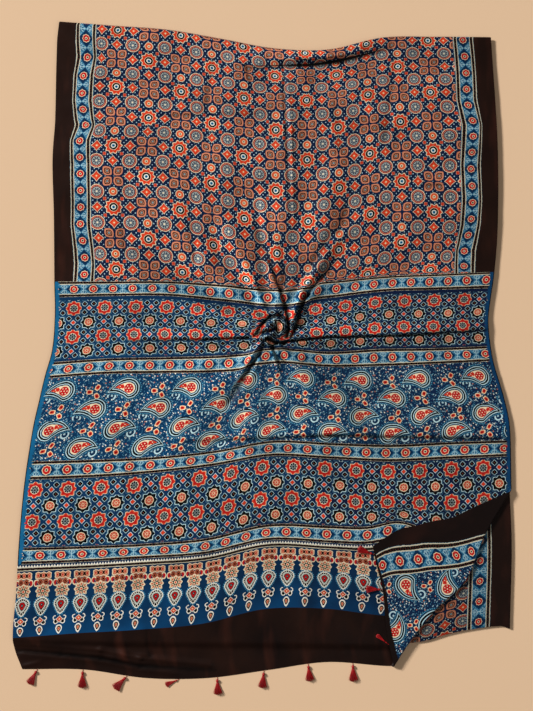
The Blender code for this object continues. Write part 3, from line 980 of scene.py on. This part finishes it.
def star_print(first, pitch, top, row_pitch):
    """A lattice of red and black stars."""
    u, v = cloth_place(WOBBLE)
    down_at = (top - v) / row_pitch
    (x, nx), (y, ny) = cell((u / CLOTH_WIDTH - first) / pitch * 2.0, 16.2), cell(down_at, 16.0)
    inside = (down_at > -0.58) * (down_at < 3.52)
    odd_x, odd_y = odd(nx), odd(ny)
    both = odd_x * odd_y
    none = (1.0 - odd_x) * (1.0 - odd_y)
    knot = (1.0 - both - none) * inside
    both, none = both * inside, none * inside
    # Navy over the blue in random patches, and more of it towards the right: painted shade for the light's
    # fall across the cloth.
    paint = Paint("blue").add("navy", least(noise(u, v, 9.0)[0] * 0.7 + u * 0.8, 1.0))

    # Diamonds with four lozenges.
    p, q = abs(x) - 4.7, abs(y) - 4.7
    k = far(p, q) * 0.25 + (abs(p) + abs(q)) * 0.6
    paint.rings(k, "0 brick 0.35 black 2.2 frost 2.65 blue", 2.65, knot)
    paint.rings(abs(x) + abs(y), "0 scarlet 2.5 frost 3.2 blue", 3.2, knot)

    r = far(x, y)
    edge = 9.0 - turns(x, y, 8) * 2.1
    paint.add("sky", (abs(r / edge - 1.15) < 0.04) * (none + both) * 0.35)
    red = Paint(bands(r / edge, "0 red 0.76 scarlet 0.93 cream 1.0 blue"))
    heart = Paint(bands(r, "0 black 1.0 grey 3.6 cream 4.2 red"))
    heart.add("black", far((r - 2.6) * 0.72, turns(x, y, 8) * 1.35) < 0.95)
    paint.add(red.add(heart, r < 4.2), (r < edge) * none)

    dark = Paint(bands(r / edge, "0 black 0.9 frost 1.0 blue"))
    heart = Paint(bands(r, "0 scarlet 1.0 cream 1.5 brick 2.0 salmon 3.9 cream 4.5 black"))
    heart.add("red", far(r - 3.0, turns(x, y, 8) * 1.2) < 0.72)
    paint.add(dark.add(heart, r < 4.5), (r < edge) * both)
    return plain_edges(paint, u, v)


PAISLEY_LONG = 19.6


def paisley_shape(x, y):
    """Distance in px outside a paisley with its bulb at the middle and its tip at the lower left,
    and the distance from its bent middle line."""
    t = share(x * (-1 / PAISLEY_LONG))
    bent = y - t * (1.0 - t) * 7.5 + t * t * t * 4.4
    wide = (1.0 - t) ** 0.78 * 10.2
    return far(most(x, 0.0) + most(x * -1.0 - PAISLEY_LONG, 0.0), bent) - wide, bent


def leafy_ground(u, v):
    """Deep blue, full of pale specks and short strokes."""
    cloud = noise(u, v, 34.0)[0]
    slant, other = (u + v) * DIAGONAL, (u - v) * DIAGONAL
    # Blue in soft clouds over the deep ground, then navy growing towards the right: painted shade for the
    # light's fall across the cloth.
    paint = Paint("deepsea").add("blue", cloud).add("navy", least(most(u * 1.1 - 0.35, 0.0), 0.8))
    paint.add("sky", (scatter(u, v, 2.7 * PX) < 0.17) * 0.65)
    paint.add("pale", (scatter(slant * 0.45, other, 3.0 * PX) < 0.155) * (cloud < 0.5) * 0.75)
    paint.add("pale", (scatter(slant, other * 0.45, 3.0 * PX) < 0.155) * (cloud > 0.5) * 0.75)
    paint.add("white", (scatter(slant + 0.4, other * 0.7, 4.2 * PX) < 0.12) * (cloud > 0.44))
    return paint.add("salmon", (scatter(u + 0.7, v, 9.0 * PX) < 0.08) * 0.7)


def paisley(paint, x, y):
    """Adds a paisley: x and y in px from its bulb's middle, its tip at the lower left."""
    d, bent = paisley_shape(x, y)

    # The curl under the tip.
    p, q = x + 15.2, y + 7.6
    curl = far(p, q)
    paint.add("deepsea", curl < 4.8)
    paint.add("frost", (abs(curl - 3.4) < 0.7) * (1.0 - (p > 0.4) * (q > 1.2)))
    paint.add("pale", far(p - 0.4, q - 0.6) < 1.0)

    paint.add("deepsea", d < 1.6)
    paint.add("sky", (abs(d - 1.2) < 0.5) * (turns(x + 4.0, bent, 46) > 0.5))
    outline = "0 cream 5.4 deepsea 6.5 frost 7.2 black 8.8 frost 9.6 deepsea 10.0 deepsea"
    paint.add(bands(d + 10.0, outline), d < 0.0)

    # The flame and the red bulb with its dots.
    flame = far((x + 8.0) * 0.45, bent - 0.4) + zigzag(x, 1.4) * 0.8
    paint.rings(flame, "0 cream 0.7 red 1.7 scarlet 2.6 orange", 2.6, d < -4.6)
    r = far(x, y)
    bulb = Paint(bands(r, "0 cream 0.6 red 4.4 cream"))
    bulb.add("cream", far(r - 2.7, turns(x, y, 6) * 1.6) < 0.56)
    return paint.add(bulb, r < 4.6)


def sprig(paint, x, y):
    """Adds three petals round a middle."""
    turn = zigzag(reckon("ARCTAN2", y, x) * (3 / math.tau) + 0.5, 0.5)
    r = far(x, y)
    p, q = abs(r - 4.6), turn * 2.3 * r
    k = far(p, q) * 0.5 + most(p * 0.9 + (r - 4.6) * 0.3, q * 1.15) * 0.5
    return paint.rings(k, "0 black 0.5 red 1.3 orange 1.8 cream 2.4 deepsea", 2.9)


def paisley_print():
    u, v = cloth_place(WOBBLE)
    s = u / CLOTH_WIDTH
    paint = leafy_ground(u, v)
    upper = v > 0.594
    sign = upper * 2.0 - 1.0

    def pair(first_up, high, first_down, low):
        """Two rows: the upper one, and the lower one that is turned the other way."""
        x, _ = cell((s - (first_down + (first_up - first_down) * upper)) / 0.1305, 60.0)
        x = x * sign
        return x, (v - (low + (high - low) * upper)) / 0.00233 + x * (1.0 - upper) * 0.2

    x1, y1 = pair(0.0465, 0.662, 0.0325, 0.573)
    x2, y2 = pair(0.1155, 0.6170, 0.0945, 0.531)
    second = paisley_shape(x2, y2)[0] < paisley_shape(x1, y1)[0]
    paisley(paint, x1 + (x2 - x1) * second, y1 + (y2 - y1) * second)
    for places in ((0.1090, 0.656, 0.1110, 0.571), (0.0420, 0.6150, 0.0380, 0.5285)):
        x, y = pair(*places)
        sprig(paint, x * sign * 0.88, y * 0.88)
    return plain_edges(paint, u, v)


def drop_shape(x, y, low_share, high_share, tip):
    """Distance out from the middle of a drop with its tip down."""
    low = most(y, 0.0)
    return far(x, low * low_share + least(y, 0.0) * high_share) + low * tip


def pendant_print():
    """A comb and a beaded line, with a row of pendants below: t px down from the print's top."""
    u, v = cloth_place(WOBBLE)
    x, _ = cell((u / CLOTH_WIDTH - 0.0517) / 0.0378, 18.9)
    t = (0.277 - v) / 0.00212
    h = abs(x)
    cloud = noise(u, v, 14.0, 2.0)[0]
    # Bright blue in soft clouds, growing further down, and less of it towards the right: painted shade for
    # the light's fall across the cloth.
    paint = Paint("deepsea").add("bright", share(t / 150.0 + cloud * 0.8 - 0.42 - u * 0.3))
    paint.add("white", (t < 3.6) * (t > 1.0 + zigzag(u / PX, 1.4) * 1.7))
    beaded(paint, abs(t - 5.2), u / PX)

    # Crown of three lobes.
    lobe = zigzag(x, 2.6)
    k = most(h - 7.8, abs(t - 12.0) - 3.9 + lobe * 0.5)
    paint.add(bands(k + 9.0, "0 black 7.7 salmon 8.3 cream 9.0 blue"), k < 0.0)
    paint.rings(far(lobe, (t - 12.0) * 0.62), "0 red 0.7 salmon 1.5 black", 1.5, h < 7.4)

    # Curled leaves under it.
    curl = "0 black 0.9 brick 1.6 black 2.2 salmon 3.0 blue"
    paint.rings(far(h - 2.8, (t - 18.3) * 0.9), curl, 2.8)
    inner = far(h - 4.6, (t - 19.8) * 0.8)
    paint.rings(far(h - 6.6, (t - 19.3) * 0.75), "0 red 1.9 cream", 2.7, inner > 1.9)

    # Square flower of eight petals.
    y = t - 27.0
    r, turn = far(x, y), turns(x, y, 8)
    k = r * 0.7 + most(h, abs(y)) * 0.3 + turn * 1.7
    paint.rings(k, "0 black 6.6 cream 7.3 blue", 7.3)
    petal = far((r - 4.5) * 0.75, turn * 2.0)
    paint.rings(petal, "0 brick 0.5 salmon 1.1 cream 1.7 black", 1.6)
    paint.rings(r, "0 scarlet 1.0 cream 1.6 black", 1.8)

    # Large drop in rings, with a fringe.
    y = t - 40.2
    k = drop_shape(x * 0.86, y, 0.2, 0.85, 0.36)
    paint.add("sky", (k < 7.2) * (turns(x, y - 2.0, 26) > 0.5))
    drop = Paint(bands(k, "0 grey 0.5 black 1.1 red 2.3 black 2.9 line 4.0 black 5.4 white"))
    drop.add("white", (turns(x, y - 1.0, 20) > 0.75) * (abs(k - 4.7) < 0.5))
    paint.add(drop, k < 6.1)

    # Small diamond between scrolls, then a small drop.
    y = t - 56.5
    hook = (abs(far(h - 4.2, y + 1.8) - 2.0) < 0.45) * most(h - 4.2 > -0.4, y > 0.4)
    paint.add("white", hook)
    paint.rings(far(h - 3.4, (y - 2.2) * 0.8), "0 black 1.5 white 2.3 blue", 2.3)
    paint.rings(h + abs(y), "0 cream 0.8 orange 2.0 red 3.0 white 3.7 black 4.3 blue", 4.3)
    k = drop_shape(x, t - 66.8, 0.2, 0.7, 0.33)
    return paint.rings(k, "0 red 0.4 salmon 1.3 black 2.2 white 3.2 blue", 3.2)


def plain_print(name, lighter):
    u, v = cloth_place()
    paint = Paint(name).add(lighter, noise(u, v, 9.0, 3.0)[0] * 1.4 - 0.4)
    # Painted highlights of folds, as brown streak marks.
    return paint.add("brown", highlight_streaks(u, v * 0.3, 22.0, 0.57, 2.5))


FLAP_PAISLEYS = (
    # bulb and tip in pixels of the view, side of the bulge, size
    (405.8, 584.5, 417.0, 603.0, 1, 1.08),
    (447.3, 588.8, 445.5, 568.5, -1, 1.05),
    (431.0, 626.0, 449.0, 603.0, -1, 1.3),
    (394.5, 632.0, 402.0, 613.0, 1, 1.0),
)
FLAP_SPRIGS = ((428, 586), (414, 625), (387, 588))


def flap_print():
    """The turned corner: selvage, border, plain hem and a ground with larger paisleys."""
    u, v = cloth_place(WOBBLE)
    right, down = view_place()
    paint = leafy_ground(u, v)
    nearest, x, y = 99.0, 99.0, 99.0
    for bulb_x, bulb_y, tip_x, tip_y, bulge, size in FLAP_PAISLEYS:
        long = math.hypot(tip_x - bulb_x, tip_y - bulb_y)
        cos, sin = (bulb_x - tip_x) / long, -(bulb_y - tip_y) / long
        dx, dy = (right - bulb_x) / size, (bulb_y - down) / size
        this_x, this_y = dx * cos + dy * sin, (dy * cos - dx * sin) * bulge
        d, _ = paisley_shape(this_x, this_y)
        closer = d < nearest
        x = this_x * closer + x * (1.0 - closer)
        y = this_y * closer + y * (1.0 - closer)
        nearest = least(d, nearest)
    paisley(paint, x, y)
    for sprig_x, sprig_y in FLAP_SPRIGS:
        sprig(paint, right - sprig_x, sprig_y - down)

    # The border, drawn in at the hem and out at the fold, then the plain hem and the selvage.
    pulled = most(1.0 - v / 0.11, 0.0)
    bend = far(v - 0.105, 0.03) * 0.18 - 0.018
    edge = CLOTH_WIDTH - u
    e = edge + pulled * pulled * (3.0 - 2.0 * pulled) * 0.028 - bend
    band = border_print((e - 0.0717) / PX * RIBBON_SCALE, (v - 0.0142) / 0.0455, 19.0, 7.9, 1.18)
    paint.add(band, e < 0.0980)
    paint.add("flap", v < 0.003 + edge * 0.055 + most(edge - 0.255, 0.0) * 2.0)
    # Painted highlights of folds on the selvage, as brown streak marks.
    plain = Paint("flap").add("brown", highlight_streaks(u, v * 0.5, 14.0, 0.54, 1.2))
    return paint.add(plain, e < SELVAGE_WIDTH)


def new_material(name, roughness, specular):
    """A new material, the one that is painted from now on, and its shader's inputs."""
    made = bpy.data.materials.new(name)
    made.use_nodes = True
    Number.tree = made.node_tree
    inputs = made.node_tree.nodes["Principled BSDF"].inputs
    inputs["Roughness"].default_value = roughness
    inputs["Specular IOR Level"].default_value = specular
    return made, inputs


THREAD_PITCH = 0.0004
WEAVE_HEIGHT = 6000000.0  # brings the product of the two zigzags to at most about 1


def cloth_material(name, depth, painter, *facts):
    """A printed cloth material: the print with its patchy dyeing, painted shade from the folds and from
    the light's fall across the cloth, a satin sheen and a fine weave.
    """
    made, inputs = new_material(name, 0.48, 0.08)
    paint = painter(*facts)
    u, v = cloth_place()
    dye_and_shade = noise(u, v, 7.0, 4.0)[0] * 0.34 + noise(u * 0.12, v, 900.0)[0] * 0.16 + 0.79
    # Painted shade: the mesh's fold_shade darkens the print in the creases and lightens it on sharp
    # ridges, and the colour grows darker towards the right edge, painted shade for the light's fall across
    # the cloth.
    fold = add_node("Attribute", {}, attribute_name="fold_shade")[2]
    dye_and_shade = dye_and_shade * fold * (depth + 0.04 - u * 0.26)
    shaded = add_node("Mix", {0: 1.0, 6: paint, 7: dye_and_shade}, data_type="RGBA", blend_type="MULTIPLY")[2]
    feed(inputs["Base Color"], shaded)
    weave = zigzag(u, THREAD_PITCH) * zigzag(v, THREAD_PITCH) * WEAVE_HEIGHT
    feed(inputs["Normal"], add_node("Bump", {"Strength": 0.25, "Distance": 0.0001, "Height": weave})[0])
    return made


BELOW = " of the layers below"
MATERIALS = {
    kind: cloth_material(name, *facts)
    for kind, name, *facts in (
        # kind, name, depth of colour, print and its measures
        ("field", "field lattice print", 0.95, field_print),
        ("side", "side border print", 0.92, side_print, 0.0079, 0.0369, 16.5, 1.0, 0.0146),
        ("under_field", "field lattice print" + BELOW, 0.68, field_print, -0.01568, 0.06392),
        ("under_side", "side border print" + BELOW, 0.85, side_print, 4.3079, 0.0507, 20.0, 1.18),
        ("border_1", "first border print", 1.0, cross_print, 0.8965, 0.0428, 0.04278),
        ("border_2", "second border print", 1.0, cross_print, 0.7135, 0.0454, 0.04272),
        ("border_3", "third border print", 1.0, cross_print, 0.4865, 0.0409, 0.0411),
        ("border_4", "fourth border print", 1.0, cross_print, 0.2955, 0.0425, 0.04132),
        ("stars_a", "upper star print", 0.93, star_print, 0.0423, 0.0690, 0.8515, 0.0325),
        ("stars_b", "lower star print", 0.93, star_print, 0.0225, 0.0657, 0.4443, 0.0362),
        ("paisleys", "paisley print", 1.0, paisley_print),
        ("pendants", "pendant print", 0.86, pendant_print),
        ("dark", "plain dark end", 1.0, plain_print, "selvage", "black"),
        ("flap", "turned corner print", 1.0, flap_print),
        ("reverse", "reverse of the cloth", 1.0, plain_print, "deep", "navy"),
    )
}

# ---------------------------------------------------------------- the pieces of cloth

# Prints of the end piece from the hem up: where each ends.
BANDS = (
    (0.12, "dark"), (0.277, "pendants"), (0.314, "border_4"), (0.468, "stars_b"), (0.505, "border_3"),
    (0.695, "paisleys"), (0.732, "border_2"), (0.878, "stars_a"), (0.915, "border_1"),
)
# The part of the layers below that shows: past this part of the width, between these lengths.
UNDER_WINDOW = (0.58, 2.75 * TOP_FOLD, 3.2 * TOP_FOLD)


def zone(s, along):
    """The materials of a face's front and back, and whether the back is the side that shows."""
    body = "side" if min(s, 1 - s) < SIDE_BORDER else "field"
    if along > TOP_FOLD:
        return "under_" + body, "under_" + body, False
    if along > FIELD_START:
        return body, "reverse", False
    name = next(name for end, name in BANDS if along < end)
    if past_corner_fold(s, along) > 0:
        return name, "flap", True
    return name, "reverse", False


def make_cloth():
    """The line of the hem, as parts of the width and points, and the three pieces of cloth."""
    sheet = make_sheet()
    points, _, flat, faces = sheet
    along, last = flat[faces, 1].mean(axis=1), flat[:, 1].max()
    on_hem = np.flatnonzero(flat[:, 1] == 0)
    on_hem = on_hem[np.argsort(flat[on_hem, 0])]
    field = faces[(along > FIELD_START) & (along < TOP_FOLD)]
    return (flat[on_hem, 0] / CLOTH_WIDTH, points[on_hem]), (
        make_piece("field", sheet, field, (FIELD_START, TOP_FOLD)),
        make_piece("end_piece", sheet, faces[along < FIELD_START], (0.0, FIELD_START)),
        make_piece("under_layers", sheet, faces[along > TOP_FOLD], (TOP_FOLD, last), UNDER_WINDOW),
    )


# ---------------------------------------------------------------- tassels

TASSELS = (  # part of the width, heading in degrees, length, width
    (0.03, -118, 37, 22), (0.122, -92, 40, 23), (0.211, -134, 39, 24), (0.317, -158, 32, 14),
    (0.396, -88, 38, 23), (0.492, -96, 38, 23), (0.585, -84, 38, 23), (0.677, -88, 40, 24),
    (0.808, 142, 34, 10), (0.918, 178, 36, 19), (0.985, 160, 38, 20),
)
TASSEL_FLATNESS = 0.3
KNOT_RADIUS = 0.001
SKIRT_TURN = 0.002
THREADS = 64
GOLDEN_TURN = math.pi * (3 - math.sqrt(5))
CORD_LONG, NECK_LONG = 4 * MM, 6 * MM
NECK_SHARE = 0.22  # the neck's radius, as a share of half the tassel's width
WRAP_TURNS = 14


def tube(line, radii, sides):
    """Rings of points round a line, and the faces between them, with closed ends."""
    line, turn = np.array(line), np.arange(sides) * math.tau / sides
    verts, faces = [], [range(sides)[::-1]]
    for point, step, radius in zip(line, np.gradient(line, axis=0), radii):
        step /= np.linalg.norm(step)
        side = np.cross(step, (0, 0, 1) if abs(step[2]) < 0.9 else (1, 0, 0))
        side /= np.linalg.norm(side)
        ring = np.outer(np.cos(turn), side) + np.outer(np.sin(turn), np.cross(side, step))
        verts.extend(point + ring * radius)
    for low in range(0, len(verts) - sides, sides):
        for corner in range(sides):
            after = (corner + 1) % sides
            faces.append((low + corner, low + after, low + sides + after, low + sides + corner))
    return verts, faces + [range(len(verts) - sides, len(verts))]


def tassel_lines(length, width):
    """A tassel's parts as lines along its own axis: points, radii, sides."""
    half = width * MM / 2
    neck = NECK_SHARE * half
    skirt_start = CORD_LONG + NECK_LONG - 1 * MM
    # The knot, the cord and the wrapped neck.
    along_knot, knot_radii = (-0.9, -0.5, 0.3, 1.2), (0.3 * MM, 0.8 * MM, 0.9 * MM, 0.4 * MM)
    found = [
        ([(at * MM, 0, 0) for at in along_knot], knot_radii, 8),
        ([(0.8 * MM, 0, 0), (CORD_LONG + 1 * MM, 0, 0)], (0.45 * MM, 0.45 * MM), 6),
    ]
    steps = range(WRAP_TURNS + 1)
    bulge = [neck * (0.75 + 0.45 * math.sin(math.pi * at / WRAP_TURNS) + 0.1 * (at % 2)) for at in steps]
    found.append(([(CORD_LONG + at * 0.4 * MM, 0, 0) for at in steps], bulge, 10))
    for number in range(THREADS):
        out = math.sqrt((number + 0.5) / THREADS)
        turn = number * GOLDEN_TURN
        reach = length * MM * (0.90 + 0.10 * abs(math.sin(number * 2.4)))
        line = []
        for t in np.linspace(0, 1, 6):
            spread = neck * 0.75 + (half * 0.95 - neck * 0.75) * t**1.15
            wave = 0.25 * MM * math.sin(number * 1.7 + t * 7) * t
            thick = spread * TASSEL_FLATNESS + neck * (1 - t) * 0.5
            ahead = skirt_start + (reach - skirt_start) * t
            line.append((ahead, out * math.cos(turn) * spread + wave, out * math.sin(turn) * thick))
        found.append((line, [0.42 * MM] * 5 + [0.28 * MM], 4))
    return found


def stands_for(piece, node):
    """Puts a piece in the place of one of the frame's nodes."""
    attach(piece, "root")
    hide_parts(node)


def make_tassel(number, row, hem_line, finish):
    """A tassel of threads in the place of its solid."""
    part, heading, length, width = row
    parts, points = hem_line
    after = np.searchsorted(parts, part)
    before, beyond = points[after - 1], points[after]
    hem = before + (beyond - before) * (part - parts[after - 1]) / (parts[after] - parts[after - 1])
    outward = np.array([beyond[1] - before[1], before[0] - beyond[0]])
    outward /= np.hypot(*outward)
    ground_z = 0.0
    if hem[2] > layer_z(LAYERS):
        # It lies on the cloth, on the turned corner's side of the hem.
        outward = -outward
        ground_z = layer_z(LAYERS) + SHEET_THICKNESS / 2 + HEM_GAP
    start = np.array([*(hem[:2] + outward * (KNOT_RADIUS + HEM_GAP)), max(hem[2], ground_z + KNOT_RADIUS)])
    widest_z = ground_z + TASSEL_FLATNESS * width * MM / 2
    tilt = math.asin((widest_z - start[2]) / (length * MM - SKIRT_TURN))
    turn = math.radians(heading)
    forward = np.array([math.cos(tilt) * math.cos(turn), math.cos(tilt) * math.sin(turn), math.sin(tilt)])
    side = np.array([-math.sin(turn), math.cos(turn), 0])
    up = np.cross(forward, side)
    verts, faces, places = [], [], []
    for index, (line, radii, sides) in enumerate(tassel_lines(length, width)):
        world = [start + forward * p[0] + side * p[1] + up * p[2] for p in line]
        for spot, radius in zip(world, radii):
            spot[2] = max(spot[2], ground_z + radius)
        new_verts, new_faces = tube(world, radii, sides)
        for face in new_faces:
            faces.append([len(verts) + corner for corner in face])
            places.extend((index * 0.37, corner * 0.02) for corner in face)
        verts.extend(tuple(vert) for vert in new_verts)
    made = make_object(f"tassel_threads_{number:02d}", verts, faces, {"cloth": places})
    made.data.materials.append(finish)
    stands_for(made, f"tassel_{number:02d}")
    return made


hem_line, (field, end_piece, under_layers) = make_cloth()
for piece in (field, end_piece, under_layers):
    stands_for(piece, "cloth")
threads, inputs = new_material("dark red silky thread", 0.5, 0.3)
u, v = cloth_place()
feed(inputs["Base Color"], Paint("thread").add("thread_light", noise(u * 40.0, v, 3.0)[0] * 1.8 - 0.5))
tassels = [make_tassel(number, row, hem_line, threads) for number, row in enumerate(TASSELS, 1)]

# ---------------------------------------------------------------- floor, light and camera

VIEW_CENTRE = (0.00984, 0.00635)
CAMERA_HEIGHT = 3.2
SHARP_HEIGHT = 0.011  # the height above the floor at which the frame is as tall as given
FRAME_TALL = 711 * PX
SENSOR = 36
FLOOR_COLOUR = (0.71, 0.487, 0.308, 1)
WORLD_COLOUR = (1, 0.97, 0.93, 1)
WORLD_STRENGTH = 0.15


def make_light(name, place, size, power):
    """A square lamp that shines at the object's middle."""
    data = bpy.data.lights.new(name, "AREA")
    data.energy, data.size = power, size
    lamp = bpy.data.objects.new(name, data)
    lamp.location = place
    away = np.array(place) / np.linalg.norm(place)
    lamp.rotation_euler = (math.acos(away[2]), 0, math.atan2(away[1], away[0]) + math.pi / 2)
    bpy.context.scene.collection.objects.link(lamp)


bpy.ops.mesh.primitive_plane_add(size=14)
floor = bpy.context.object
floor.name = "floor"
finish, inputs = new_material("pale paper ground", 0.9, 0.1)
inputs["Base Color"].default_value = FLOOR_COLOUR
floor.data.materials.append(finish)

make_light("window", (-16.0, 9.6, 11.2), 3.84, 7040)
make_light("fill", (3.0, -2.0, 5.0), 4.0, 50)

camera_data = bpy.data.cameras.new("camera")
camera_data.sensor_fit = "VERTICAL"
camera_data.sensor_height = SENSOR
camera_data.lens = SENSOR * (CAMERA_HEIGHT - SHARP_HEIGHT) / FRAME_TALL
camera = bpy.data.objects.new("camera", camera_data)
camera.location = (*VIEW_CENTRE, CAMERA_HEIGHT)
bpy.context.scene.collection.objects.link(camera)
bpy.context.scene.camera = camera

world = bpy.data.worlds.new("studio")
world.use_nodes = True
background = world.node_tree.nodes["Background"]
background.inputs[0].default_value = WORLD_COLOUR
background.inputs[1].default_value = WORLD_STRENGTH
bpy.context.scene.world = world
bpy.context.scene.view_settings.view_transform = "Standard"
